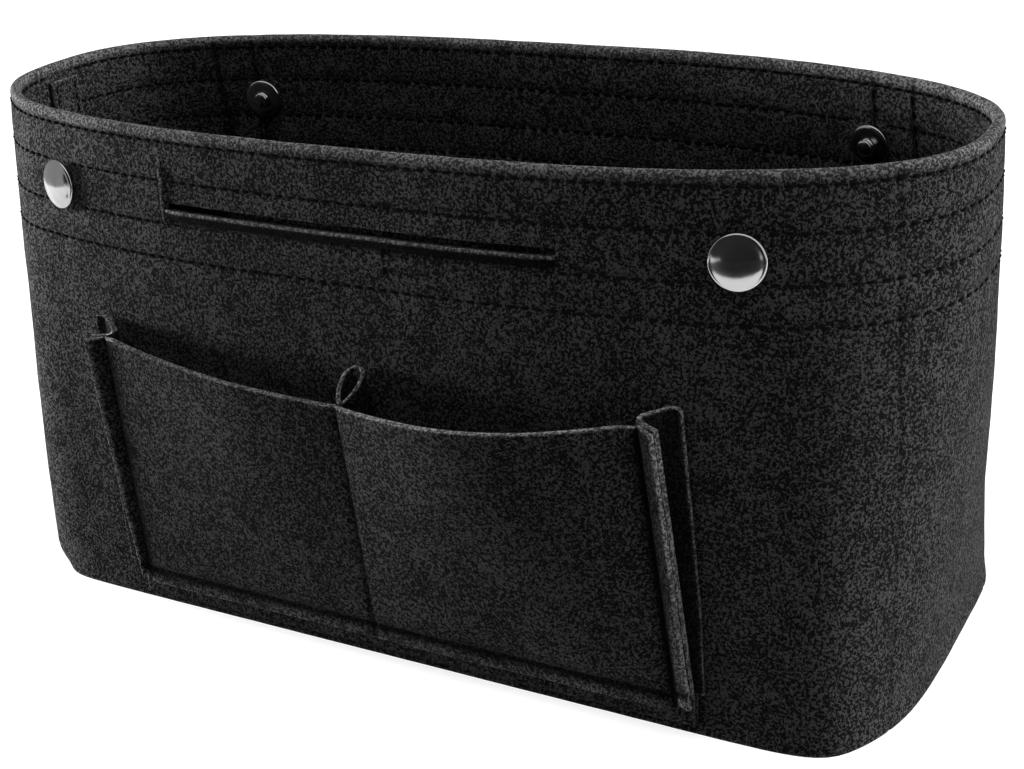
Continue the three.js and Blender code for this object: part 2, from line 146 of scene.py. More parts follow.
def felt_material():
    """The highlight attribute moves the fibres' own tone towards raised fibres with a painted highlight, the shade
    attribute towards painted shade.
    """
    plain = {"Specular IOR Level": 0.02, "Sheen Weight": 0.02, "Sheen Roughness": 0.55, "Sheen Tint": felt_sheen}
    material, tree, shader = plain_material("charcoal_felt", plain)
    grained = node(tree, "ShaderNodeGroup", [("Fibre Scale", 1400.0), ("Contrast", 14.76)], node_tree=fibre)
    tone = grained.outputs["Tone"]
    colour = mixed_colour(tree, tone, felt_dark, felt_light)
    # Raised fibres and a painted highlight along folds and raw edges.
    fuzz_and_highlight = node(tree, "ShaderNodeAttribute", attribute_name="fuzz_and_highlight").outputs["Fac"]
    patchy = node(tree, "ShaderNodeMapRange", [("Value", tone), ("To Min", 0.2), ("To Max", 1.15)]).outputs[0]
    share = node(tree, "ShaderNodeMath", [(0, fuzz_and_highlight), (1, patchy)], operation="MULTIPLY", use_clamp=True).outputs[0]
    colour = mixed_colour(tree, share, colour, felt_raised_highlight)
    # Painted shade in seams, creases and crevices, and under the slit's lip.
    painted_shade = node(tree, "ShaderNodeAttribute", attribute_name="painted_shade").outputs["Fac"]
    colour = mixed_colour(tree, painted_shade, colour, felt_shade)
    tree.links.new(colour, shader.inputs["Base Color"])
    tree.links.new(grained.outputs["Roughness"], shader.inputs["Roughness"])
    relief(tree, shader, grained.outputs["Height"], 0.85, 0.0006)
    return material


charcoal_felt = felt_material()

# Tub walls. Each half of the tub is one panel of felt, folded over at the rim into an outer and an inner leaf.
# The plan runs from a rounded rectangle at the base to an oval at the rim, and the two halves meet in butt
# seams at the ends. The front's outer leaf has the slit of the flat pocket between its two leaves.
tub_height = 0.1425
felt_thickness = 0.0015
leaf_gap = 0.0003
seam_half_gap = 0.00015
wall_foot = 0.0021
outer_foot = 0.0
foot_spread = 0.0006
rim_bend = 0.14085
row_heights = (0.1074, 0.1170, 0.1287, 0.1391)
slit_half = 0.057
slit_low = 0.121
slit_high = 0.123
crease_x = 0.131
base_half_length = 0.1362
base_half_depth = 0.0562
front_corner_cut = (0.798, 0.603, 0.1318)
rim_half_length = 0.143
rim_front_depth = 0.056
rim_back_depth = 0.058
rim_squareness = 2.55
end_bulge = 0.0021
slack_height = 0.00055
tuck_x = -0.1225
tuck_width = 0.0068
tuck_depth = 0.0032


def plan_ring(half_length, half_depth, squareness, corner_cut=None):
    """A quarter of the plan, from the end to the middle. corner_cut is a line that trims the corner."""
    angle = np.linspace(0, math.pi / 2, 4001)
    total = (np.cos(angle) / half_length) ** squareness + (np.sin(angle) / half_depth) ** squareness
    if corner_cut:
        total += ((np.cos(angle) * corner_cut[0] + np.sin(angle) * corner_cut[1]) / corner_cut[2]) ** squareness
    reach = total ** (-1 / squareness)
    x, y = reach * np.cos(angle), reach * np.sin(angle)
    run = np.concatenate([[0], np.cumsum(np.hypot(np.diff(x), np.diff(y)))])
    return run / run[-1], x, y, run[-1]


base_front = plan_ring(base_half_length, base_half_depth, 22, front_corner_cut)
base_back = plan_ring(base_half_length, base_half_depth, 10)
rim_front = plan_ring(rim_half_length, rim_front_depth, rim_squareness)
rim_back = plan_ring(rim_half_length, rim_back_depth, rim_squareness)
base_ring = (base_front, base_front, base_back, base_back)
rim_ring = (rim_front, rim_front, rim_back, rim_back)
quarter_run = (base_front[3] + rim_front[3]) / 2


def on_ring(rings, turn):
    """Turn 0 is the left end, 1 the front's middle, 2 the right end and 3 the back's middle."""
    quarter = math.floor(turn) % 4
    ring = rings[quarter]
    part = turn - math.floor(turn)
    part = 1 - part if quarter % 2 else part
    x = float(np.interp(part, ring[0], ring[1]))
    y = float(np.interp(part, ring[0], ring[2]))
    return Vector((x if quarter in (1, 2) else -x, y if quarter > 1 else -y, 0))


columns = {}


def wall_column(turn):
    key = round(turn, 6)
    if key not in columns:
        ends = []
        for ring in (base_ring, rim_ring):
            along = (on_ring(ring, turn + 0.003) - on_ring(ring, turn - 0.003)).normalized()
            ends.append((on_ring(ring, turn), Vector((-along.y, along.x, 0))))
        columns[key] = ends
    return columns[key]


def smooth(value, low, high):
    share = min(1.0, max(0.0, (value - low) / (high - low)))
    return share * share * (3 - 2 * share)


def dip(value, mark, width):
    return math.exp(-(((value - mark) / width) ** 2))


def slack(spot):
    """The felt isn't drawn flat: it waves a little, apart from the front below the pocket's top."""
    free = max(smooth(spot.z, 0.09, 0.112), smooth(abs(spot.x), 0.1, 0.122), smooth(spot.y, -0.03, 0.02))
    held = min(1.0, min((spot - seat).length for seat in snap_spots) / 0.016)
    wave = noise.noise(spot * 17.0) + 0.45 * noise.noise(spot * 46.0 + Vector((3.0, 7.0, 1.0)))
    return slack_height * wave * free * smooth(held, 0.5, 1.0) * smooth(spot.z, 0.0, 0.02)


def corner_tuck(spot, z):
    """The foot of the left front corner curls in a little."""
    corner = dip(spot.x, tuck_x, tuck_width) * smooth(-spot.y, 0.02, 0.04)
    return tuck_depth * corner * (1 - smooth(z, -0.002, 0.007))


def wall_place(turn, z, inset):
    (base, base_in), (rim, rim_in) = wall_column(turn)
    share = z / tub_height
    spot = base.lerp(rim, share)
    spot.z = z
    bulge = end_bulge * 4 * share * (1 - share) * smooth(abs(spot.x), 0.1, 0.128)
    inset += corner_tuck(spot, z) - bulge + slack(spot)
    return spot + base_in.lerp(rim_in, share).normalized() * inset


front_turns = np.linspace(0.01, 1.99, 1981)
front_base = np.array([on_ring(base_ring, t)[:2] for t in front_turns])
front_rim = np.array([on_ring(rim_ring, t)[:2] for t in front_turns])
front_plans = {}


def front_plan(z):
    if z not in front_plans:
        share = z / tub_height
        front_plans[z] = front_base * (1 - share) + front_rim * share
    return front_plans[z]


def front_y(x, z):
    return float(np.interp(x, front_plan(z)[:, 0], front_plan(z)[:, 1]))


def turn_at(x, z, back=False):
    turn = float(np.interp(x, front_plan(z)[:, 0], front_turns))
    return 4 - turn if back else turn


snap_x = 0.099
snap_z = 0.1225
snap_spots = [Vector((x, side * abs(front_y(x, snap_z)), snap_z)) for x in (-snap_x, snap_x) for side in (-1, 1)]


def stations(start, end, step, marks=(), fine=0.0007, edge=0.0006):
    """Even steps from start to end, with finer ones about each mark and one close to each end."""
    count = max(2, round((end - start) / step))
    even = [start + (end - start) * k / count for k in range(1, count)]
    close = sorted({round(mark + fine * k, 7) for mark in marks for k in range(-3, 4)})
    close += [start + edge, end - edge]
    close = [value for value in close if start + edge / 2 < value < end - edge / 2]
    even = [value for value in even if all(abs(value - near) > fine for near in close)]
    return [start, *sorted(even + close), end]


def finished_piece(name, form, material=None):
    """The finished bmesh as an object in the scene."""
    mesh = bpy.data.meshes.new(name)
    form.to_mesh(mesh)
    form.free()
    piece = bpy.data.objects.new(name, mesh)
    bpy.context.scene.collection.objects.link(piece)
    if material:
        mesh.shade_smooth()
        mesh.materials.append(material)
    return piece


def felt_edges(piece, thickness, side, width, segments):
    """Gives a sheet its thickness, with softened cut edges."""
    solid = piece.modifiers.new("Felt thickness", "SOLIDIFY")
    solid.thickness = thickness
    solid.offset = side
    edge = piece.modifiers.new("Cut edge", "BEVEL")
    edge.width = width
    edge.segments = segments
    edge.limit_method = "ANGLE"
    edge.angle_limit = math.radians(50)
    return solid


def felt_sheet(
    name, across, along, place, thickness, press=None, side=0.0, drop=None, fuzz_and_highlight=None, painted_shade=None, raw_edge=0.6
):
    """A sheet of felt: place gives each point of its grid, press its share of the thickness, drop what is cut out,
    and the two after it where raised fibres with a painted highlight go, as along every raw edge, and where
    painted shade goes."""
    field = bmesh.new()
    columns_across, rows_along = len(across) - 1, len(along) - 1
    bmesh.ops.create_grid(field, x_segments=columns_across, y_segments=rows_along, size=1)
    if drop:
        cut = []
        for face in field.faces:
            middle = face.calc_center_median()
            i = int((middle.x + 1) / 2 * columns_across)
            j = int((middle.y + 1) / 2 * rows_along)
            if drop(across[i], across[i + 1], along[j], along[j + 1]):
                cut.append(face)
        bmesh.ops.delete(field, geom=cut, context="FACES")
    weights = field.verts.layers.deform.verify()
    fuzz_highlight_layer = field.verts.layers.float.new("fuzz_and_highlight")
    shade_layer = field.verts.layers.float.new("painted_shade")
    for vert in field.verts:
        i = round((vert.co.x + 1) / 2 * columns_across)
        j = round((vert.co.y + 1) / 2 * rows_along)
        vert.co = place(across[i], along[j])
        vert[weights][0] = press(across[i], along[j]) if press else 1.0
        # Raw edges get raised fibres and a painted highlight, and no painted shade.
        raw = raw_edge if vert.is_boundary else 0.0
        vert[fuzz_highlight_layer] = max(raw, fuzz_and_highlight(across[i], along[j]) if fuzz_and_highlight else 0.0)
        vert[shade_layer] = 0.0 if raw or not painted_shade else min(0.95, painted_shade(across[i], along[j]))
    sheet = finished_piece(name, field, charcoal_felt)
    sheet.vertex_groups.new(name="thickness")
    solid = felt_edges(sheet, thickness, side, 0.00035, 2)
    solid.use_even_offset = True
    solid.vertex_group = "thickness"
    return sheet


outer_leaf, fold, inner_leaf = "outer", "fold", "inner"


def wall_rows(marks):
    heights = stations(wall_foot, rim_bend, 0.0026, marks)
    rows = [(outer_leaf, felt_thickness, z) for z in [outer_foot, 0.0008, *heights]]
    radius = leaf_gap / 2
    for k in range(1, 7):
        angle = math.pi * k / 7
        inset = felt_thickness + radius - radius * math.cos(angle)
        rows.append((fold, inset, rim_bend + radius * math.sin(angle)))
    return rows + [(inner_leaf, felt_thickness + leaf_gap, z) for z in reversed(heights)]


def rim_fuzz_highlight(run, row):
    """The rim's fold and the felt just below it carry raised fibres and a painted highlight."""
    return 0.65 if row[0] == fold else 0.5 * smooth(row[2], 0.1392, 0.1408)


def wall_half(name, cad_node, start, marks, shape=None, extra_rows=(), drop=None, dark=None):
    length = 2 * quarter_run
    across = stations(seam_half_gap, length - seam_half_gap, 0.0026, marks)

    def place(run, row):
        leaf, inset, z = row
        turn = start + run / quarter_run
        if leaf == outer_leaf:
            inset -= foot_spread * (1 - smooth(z, 0.0, 0.007))
        if shape:
            inset += shape(wall_place(turn, z, 0).x, leaf, z)
        return wall_place(turn, z, inset)

    def press(run, row):
        leaf, inset, z = row
        sewn = 0.0 if leaf == fold else sum(dip(z, height, 0.0011) for height in row_heights)
        upright = sum(dip(run, mark, 0.0006) for mark in crease_runs) if leaf == outer_leaf else 0.0
        lump = 0.05 * noise.noise(wall_place(start + run / quarter_run, z, inset) * 160.0)
        return max(0.3, 0.93 + lump - 0.22 * min(1.0, sewn) - 0.14 * min(1.0, upright))

    # Painted shade along the outer leaf's corner creases, plus the painted shade that the dark argument gives.
    def painted_shade(run, row):
        leaf, inset, z = row
        upright = 0.35 * sum(dip(run, mark, 0.0007) for mark in crease_runs) if leaf == outer_leaf else 0.0
        return upright + (dark(wall_place(start + run / quarter_run, z, 0).x, leaf, z) if dark else 0.0)

    rows = wall_rows([*row_heights, *extra_rows])
    wall = felt_sheet(name, across, rows, place, felt_thickness, press, 1.0, drop, rim_fuzz_highlight, painted_shade, 0.3)
    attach(wall, "tub")
    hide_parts(cad_node)


bag_depth = 0.0017
lip_proud = 0.0005
ridge_x = -0.0578
ridge_groove_x = -0.0592
ridge_height = 0.0006


def slit_shape(x, leaf, z):
    """The inner leaf bags inwards behind the slit, the slit's lower lip stands a little proud, and a ridge runs
    up beside the slit's left end."""
    middle = smooth(slit_half + 0.004 - abs(x), 0.0, 0.012)
    if leaf == inner_leaf:
        return bag_depth * middle * smooth(z, 0.096, 0.112) * (1 - smooth(z, 0.1235, 0.128))
    lip = lip_proud * middle * smooth(z, 0.108, slit_low) * (1 if z < 0.122 else 0)
    ridge = ridge_height * dip(x, ridge_x, 0.0009) * smooth(z, 0.116, 0.118) * (1 - smooth(z, 0.132, 0.134))
    return -lip - ridge


def slit_shade(x, leaf, z):
    """Painted shadow on the outer leaf below the lip, and painted shade beside the ridge."""
    if leaf == inner_leaf:
        return 0.0
    middle = smooth(slit_half + 0.001 - abs(x), 0.0, 0.003)
    below = middle * smooth(z, 0.1172, 0.1182) * (1 - smooth(z, 0.1212, 0.1216))
    beside = dip(x, ridge_groove_x, 0.0007) * smooth(z, 0.1155, 0.117) * (1 - smooth(z, 0.132, 0.134))
    return 0.9 * max(below, beside)


def slit_gap(run_low, run_high, row_low, row_high):
    """Whether a face of the grid lies in the slit, which is cut in the outer leaf alone."""
    hair = 1e-6
    inside = all(slit_run_low - hair < run < slit_run_high + hair for run in (run_low, run_high))
    outer = row_low[0] == outer_leaf and row_high[0] == outer_leaf
    return outer and inside and all(slit_low - hair < z < slit_high + hair for z in (row_low[2], row_high[2]))


slit_run_low = turn_at(-slit_half, 0.122) * quarter_run
slit_run_high = turn_at(slit_half, 0.122) * quarter_run
ridge_runs = [turn_at(x, 0.125) * quarter_run for x in (ridge_groove_x, ridge_x)]
crease_runs = [turn_at(side * crease_x, 0.07) * quarter_run for side in (-1, 1)]
wall_half(
    "front_wall_felt",
    "front_wall",
    0,
    [slit_run_low, slit_run_high, *ridge_runs, *crease_runs],
    slit_shape,
    (slit_low, slit_high),
    slit_gap,
    slit_shade,
)
end_rows = (-0.113, -0.101, 0.101, 0.113)


def end_row_shade(x, leaf, z):
    """Painted shade along the rows of stitches that run down from the rim at the ends of the back wall's inner
    leaf.
    """
    return 0.9 * sum(dip(x, line, 0.0007) for line in end_rows) * (leaf == inner_leaf) * smooth(z, 0.088, 0.09)


back_marks = [(turn_at(x, 0.12, back=True) - 2) * quarter_run for x in end_rows]
wall_half("back_wall_felt", "back_wall", 2, [*crease_runs, *back_marks], dark=end_row_shade)

# Stitching. Dark sewing thread, a machine lock stitch of 3.6 mm. Each stitch is a short flattened bead of thread
# that lies in the groove that its seam pulls into the felt.
stitch_pitch = 0.0036
stitch_length = 0.0024
stitch_width = 0.0010
stitch_height = 0.00085
outer_row_inset = 0.00035
inner_row_inset = 0.0031
butt_clear = 0.001
strip_clear = 0.0066
snap_clear = 0.0085
tack_x = 0.0105


def thread_material():
    material, tree, shader = plain_material("dark_thread", {"Roughness": 0.85, "Specular IOR Level": 0.08})
    grained = node(tree, "ShaderNodeGroup", [("Fibre Scale", 2600.0)], node_tree=fibre)
    colour = mixed_colour(tree, grained.outputs["Tone"], grey(0.0008), (0.0045, 0.0045, 0.0046, 1.0))
    tree.links.new(colour, shader.inputs["Base Color"])
    relief(tree, shader, grained.outputs["Height"], 0.4, 0.0002)
    return material


dark_thread = thread_material()
bead = bpy.data.meshes.new("stitch_bead")
bead_form = bmesh.new()
bmesh.ops.create_uvsphere(bead_form, u_segments=6, v_segments=5, radius=0.5)
bead_form.to_mesh(bead)
bead_form.free()
bead_points = [vert.co.copy() for vert in bead.vertices]


class Seam:
    """Gathers the stitches of one group of seams into one mesh."""

    def __init__(self, name):
        self.name = name
        self.thread = bmesh.new()

    def stitch(self, spot, along, out):
        side = along.cross(out).normalized()
        out = side.cross(along).normalized()
        for vert, point in zip(bead.vertices, bead_points):
            flat = side * point.x * stitch_width + out * point.y * stitch_height
            vert.co = spot + along * point.z * stitch_length + flat
        self.thread.from_mesh(bead)

    def line(self, place, start, end, skip=None):
        """Stitches along place(s), which gives a point and its outward direction for each length s."""
        count = max(1, round((end - start) / stitch_pitch))
        for k in range(count):
            middle = start + (end - start) * (k + 0.5) / count
            spot, out = place(middle)
            if skip and skip(spot):
                continue
            ahead, behind = place(middle + 0.0008)[0], place(middle - 0.0008)[0]
            self.stitch(spot, (ahead - behind).normalized(), out)

    def done(self):
        return finished_piece(self.name, self.thread, dark_thread)


def outward(turn, z):
    return (wall_place(turn, z, -0.01) - wall_place(turn, z, 0)).normalized()


def near_snap(spot):
    return any((spot - seat).length < snap_clear for seat in snap_spots)


def row_round(seam, z, inset, start, face, clear):
    """One row of stitches along half of the tub at one height, clear of its ends."""

    def place(run):
        turn = start + run / quarter_run
        return wall_place(turn, z, inset), outward(turn, z) * face

    seam.line(place, clear, 2 * quarter_run - clear, near_snap)


def row_upright(seam, turn, inset, low, high, face):
    """One upright row of stitches on the wall."""
    seam.line(lambda z: (wall_place(turn, z, inset), outward(turn, z) * face), low, high, near_snap)


tub_seams = Seam("tub_stitching")
for half in (0, 2):
    for z in row_heights:
        row_round(tub_seams, z, outer_row_inset, half, 1, butt_clear)
        row_round(tub_seams, z, inner_row_inset, half, -1, strip_clear)
row_upright(tub_seams, turn_at(tack_x, 0.116), -0.0004, 0.1105, 0.1195, 1)
tub_stitching = tub_seams.done()
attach(tub_stitching, "tub")

# Slit pocket's welt. A narrow felt lip sewn along the slit's lower edge, proud at its top, which carries a
# painted highlight, and thinner at its foot. Below the highlight the lip carries painted shadow.
# Each row: height, inset out from the wall, and its share of the painted highlight.
welt_profile = (
    (0.1186, -0.0002, 0.0),
    (0.1194, -0.0004, 0.0),
    (0.1200, -0.0006, 0.0),
    (0.1205, -0.0009, 0.1),
    (0.1208, -0.0011, 0.8),
    (0.12105, -0.0011, 1.0),
    (0.1211, -0.0008, 0.5),
    (0.1211, -0.0005, 0.0),
    (0.12105, -0.0002, 0.0),
)
welt_thickness = 0.0006


def welt_place(x, row):
    z, inset = row[:2]
    return wall_place(turn_at(x, z), z, inset * (0.4 + 0.6 * smooth(slit_half - abs(x), 0.0, 0.004)))


def welt_press(x, row):
    return 0.35 + 0.65 * smooth(row[0], 0.1186, 0.12)


# Painted highlight on the lip's top edge.
def welt_highlight(x, row):
    return row[2]


# Painted shadow on the lip below its top edge.
def welt_shade(x, row):
    return 0.9 * (1 - row[2])


welt = felt_sheet(
    "slit_welt_felt",
    stations(-slit_half, slit_half, 0.002),
    welt_profile,
    welt_place,
    welt_thickness,
    welt_press,
    fuzz_and_highlight=welt_highlight,
    painted_shade=welt_shade,
    raw_edge=0.0,
)
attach(welt, "tub")
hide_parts("slit_pocket_welt")

# Seam strips. A strip of felt is sewn over each butt seam inside, with a row of stitches along both edges. The
# rows hold it to the inner leaves alone, so that none shows outside.
strip_half = 0.006
strip_seam = 0.0043
strip_inset = 0.00435
for label, middle in (("left", 0), ("right", 2)):

    def strip_place(run, z, middle=middle):
        return wall_place(middle + run / quarter_run, z, strip_inset)

    def strip_press(run, z):
        return 0.9 - 0.4 * dip(abs(run), strip_seam, 0.0006) - 0.25 * dip(abs(run), strip_half, 0.0006)

    strip = felt_sheet(
        f"seam_strip_{label}_felt",
        stations(-strip_half, strip_half, 0.0012, (-strip_seam, strip_seam), 0.0004),
        stations(0.0057, 0.1375, 0.003),
        strip_place,
        felt_thickness,
        strip_press,
    )
    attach(strip, "tub")
    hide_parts(f"side_seam_strip_{label}")

strip_seams = Seam("seam_strip_stitching")
for middle in (0, 2):
    for side in (-1, 1):
        turn = middle + side * strip_seam / quarter_run
        row_upright(strip_seams, turn, 0.0048, 0.008, 0.1365, -1)
for x in end_rows:
    row_upright(strip_seams, turn_at(x, 0.12, back=True), 0.0033, 0.09, 0.1385, -1)
strip_stitching = strip_seams.done()
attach(strip_stitching, "tub")

# Base. A felt panel inside the walls' outer leaf, which hides its edge, a stiff board on it, and a felt lining
# over the board.
plate_points = 320


def plate(name, low, thickness, inset):
    """A flat piece of felt, cut along the walls' plan."""
    disc = bmesh.new()
    bmesh.ops.create_circle(disc, cap_ends=True, segments=plate_points, radius=1)
    for vert in disc.verts:
        turn = 2 + math.atan2(vert.co.y, vert.co.x) / (math.pi / 2)
        spot, inwards = wall_column(turn)[0]
        vert.co = spot + inwards * (inset + corner_tuck(spot, low))
        vert.co.z = low
    bmesh.ops.recalc_face_normals(disc, faces=disc.faces)
    for step in (0.004, 0.012):
        bmesh.ops.inset_region(disc, faces=[max(disc.faces, key=lambda f: f.calc_area())], thickness=step)
    piece = finished_piece(name, disc, charcoal_felt)
    if piece.data.polygons[0].normal.z < 0:
        piece.data.flip_normals()
    felt_edges(piece, thickness, 1.0, 0.00045, 3)
    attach(piece, "tub")
    return piece


base_panel = plate("base_panel_felt", low=0.0, thickness=0.0018, inset=0.0018)
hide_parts("base_panel")
base_lining = plate("base_lining_felt", low=0.0039, thickness=0.0015, inset=0.0043)
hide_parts("base_lining")


def board_material():
    material, tree, shader = plain_material("pressed_board", {"Roughness": 0.65})
    flecks = speckle(tree, node(tree, "ShaderNodeTexCoord").outputs["Object"], 420.0, 3.0, 0.6)
    colour = mixed_colour(tree, flecks, (0.005, 0.005, 0.006, 1.0), (0.022, 0.021, 0.02, 1.0))
    tree.links.new(colour, shader.inputs["Base Color"])
    relief(tree, shader, flecks, 0.3, 0.0002)
    return material


board = bpy.data.objects["base_board"]
board.data.materials.clear()
board.data.materials.append(board_material())

# Front pocket. A bellows pocket of two bays: its panel bulges between side seams and a middle seam, its free top
# edge sags to the middle, and beyond the side seams its border stands off in a rib with the gusset's.
pocket_top = 0.0865
pocket_foot = 0.0092
seam_top = 0.0795
left_seam_foot = 0.0783
right_seam_foot = 0.0868
border_top = 0.0047
left_border_foot = 0.0024
right_border_foot = 0.0041
border_lift = 0.0017
lift_low = 0.0065
lift_high = 0.024
corner_drop = 0.0015
foot_groove = 0.0130
border_flare = 0.003
side_lean = 0.0036
middle_lean = 0.007
left_crown = 0.003
right_crown = 0.0082
middle_sag = 0.0062
sewn_stack = 0.0039
seam_swell = 0.0009
bay_wave = 0.0007


def pocket_rise(z):
    return min(1.0, max(0.0, (z - pocket_foot) / (pocket_top - pocket_foot)))


def pocket_seam(side, z):
    """How far from the middle the side seam runs at a height, left of it or right."""
    foot = left_seam_foot if side < 0 else right_seam_foot
    return foot + (seam_top - foot) * pocket_rise(z)


def seam_border(side, z):
    """The border beyond the seam narrows towards the foot."""
    foot = left_border_foot if side <= 0 else right_border_foot
    return foot + (border_top - foot) * pocket_rise(z)


def foot_lifted(z, share):
    """The border's foot ends higher than the panel's, at the foot's groove."""
    return z + share * border_lift * (1 - smooth(z, lift_low, lift_high))


def bay_share(x, z):
    return min(1.0, max(0.0, 1 - abs(x) / pocket_seam(x, z)))


def pocket_depth(x, z):
    """Clear depth between the wall and the panel's inner face."""
    rise, bay = pocket_rise(z), bay_share(x, z)
    crown = (left_crown if x < 0 else right_crown) * math.sin(bay * math.pi) ** 0.9 * rise**1.2
    flare = border_flare * max(0.0, abs(x) - pocket_seam(x, z)) / seam_border(x, z) * (0.3 + 0.7 * rise)
    return sewn_stack + (side_lean + (middle_lean - side_lean) * bay) * rise + flare + crown


def pocket_sag(x, z):
    corner = corner_drop * smooth(abs(x) - pocket_seam(x, z), -0.005, 0.001)
    return (middle_sag * bay_share(x, z) ** 0.7 + corner) * pocket_rise(z) ** 2


def panel_spot(x, z, out=0.0):
    return Vector((x, front_y(x, z) - pocket_depth(x, z) - felt_thickness / 2 - out, z - pocket_sag(x, z)))


def panel_across(share, z):
    """Share -1 to 1 lies between the side seams, and beyond it the border."""
    inner = max(-1.0, min(1.0, share)) * pocket_seam(share, z)
    return inner + (share - max(-1.0, min(1.0, share))) * seam_border(share, z)


def panel_wave(x, z):
    """The felt swells beside its seams, and waves a little between them."""
    free = bay_share(x, z) * (1 - bay_share(x, z)) * 4
    beside = min(abs(abs(x) - pocket_seam(x, z)), abs(z - foot_groove) if z > foot_groove else 1.0)
    swell = seam_swell * (1 - dip(beside, 0, 0.0022))
    return swell + bay_wave * free * noise.noise(Vector((x * 26.0, 5.0, z * 19.0)))


def panel_place(share, z):
    x = panel_across(share, z)
    middle_groove = 0.0005 * dip(x, 0, 0.0016) * pocket_rise(z)
    spot = panel_spot(x, z, panel_wave(x, z) - middle_groove)
    spot.z = foot_lifted(spot.z, smooth(abs(share), 0.99, 1.3))
    return spot


def panel_press(share, z):
    x = panel_across(share, z)
    seam = dip(abs(x), pocket_seam(x, z), 0.0008)
    foot = dip(z, foot_groove, 0.0011)
    lump = 0.05 * noise.noise(Vector((x, 0.3, z)) * 160.0)
    return 0.94 + lump - 0.6 * seam - 0.35 * dip(x, 0, 0.0007) - 0.55 * foot


def panel_fuzz_highlight(share, z):
    """Painted highlight on the right border, which faces the light, and raised fibres with a painted highlight
    along the left border's raw edge and the foot.
    """
    left_edge = 0.85 * smooth(-share, 1.68, 1.88)
    right_border = 0.08 * smooth(share, 1.15, 1.5)
    foot = 0.25 * (1 - smooth(z, 0.0102, 0.012))
    return max(right_border, foot, left_edge)


def panel_shade(share, z):
    """Painted shade in the seams' grooves, and painted shadow on the left border inside its raw edge."""
    x = panel_across(share, z)
    seam = dip(abs(x), pocket_seam(x, z) - 0.0005, 0.0013)
    foot = dip(z, foot_groove, 0.001)
    left_border = 0.45 * smooth(-share, 1.05, 1.2) * (1 - smooth(-share, 1.6, 1.75))
    return max(seam, foot, 0.6 * dip(x, 0, 0.0008), left_border)


border_shares = [1.14, 1.3, 1.5, 1.7, 1.88, 2.0]
bay_shares = stations(-1, 1, 0.022, (-1, 0, 1), 0.007, 0.01)
panel = felt_sheet(
    "front_pocket_panel_felt",
    [-share for share in reversed(border_shares)] + bay_shares + border_shares,
    stations(pocket_foot, pocket_top, 0.0018, (foot_groove,)),
    panel_place,
    felt_thickness,
    panel_press,
    fuzz_and_highlight=panel_fuzz_highlight,
    painted_shade=panel_shade,
    raw_edge=0.85,
)
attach(panel, "front_pocket")
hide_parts("front_pocket_panel")

pocket_seams = Seam("front_pocket_stitching")


def pocket_line(side):
    return lambda z: (panel_spot(side * pocket_seam(side, z), z), Vector((0, -1, 0)))


for side in (-1, 0, 1):
    pocket_seams.line(pocket_line(side), 0.011, 0.0855)
pocket_seams.line(lambda x: (panel_spot(x, foot_groove), Vector((0, -1, 0))), -0.078, 0.085)
pocket_stitching = pocket_seams.done()
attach(pocket_stitching, "front_pocket")

# Gussets. A strip of felt closes each side of the pocket: one border is sewn behind the panel's edge, the leaf
# folds back at the seam and runs to a crease on the wall, and the flange beyond it is sewn to the wall.
flange_foot = 0.0121
left_flange_edge = ((0.0065, 0.0885), (0.035, 0.0895), (0.0865, 0.0885))
right_flange_edge = ((0.0065, 0.0925), (0.035, 0.0916), (0.0865, 0.0874))
flange_width = 0.0032
flange_lift = 0.0012
gusset_rise = 0.0008
gusset_points = 44


def even_path(points, count):
    """The path again with evenly spaced points, softened at its creases."""
    spots = np.array(points)
    for round_off in range(3):
        run = np.concatenate([[0], np.cumsum(np.hypot(*np.diff(spots, axis=0).T))])
        even = np.linspace(0, run[-1], count)
        spots = np.column_stack([np.interp(even, run, spots[:, 0]), np.interp(even, run, spots[:, 1])])
        if round_off < 2:
            spots[1:-1] = (spots[:-2] + 2 * spots[1:-1] + spots[2:]) / 4
    return spots


gusset_paths = {}


def gusset_path(side, z):
    if (side, z) in gusset_paths:
        return gusset_paths[side, z]
    rise, seam = pocket_rise(z), pocket_seam(side, z)
    half = seam + seam_border(side, z)
    behind = leaf_gap + felt_thickness / 2
    fold_radius = (felt_thickness + leaf_gap) / 2
    flange = float(np.interp(z, *zip(*(left_flange_edge if side < 0 else right_flange_edge))))
    crease = flange - flange_width
    path = [(x, front_y(x, z) - pocket_depth(side * x, z) + behind) for x in (half, (half + seam) / 2, seam)]
    for k in range(1, 9):
        angle = math.pi * k / 8
        path.append((seam - fold_radius * math.sin(angle), path[2][1] + fold_radius * (1 - math.cos(angle))))
    lifts = ((crease, 0.0), ((crease + flange) / 2, 0.0), (flange, flange_lift * rise))
    path += [(x, front_y(x, z) - leaf_gap - felt_thickness / 2 - lift) for x, lift in lifts]
    gusset_paths[side, z] = even_path(path, gusset_points)
    return gusset_paths[side, z]


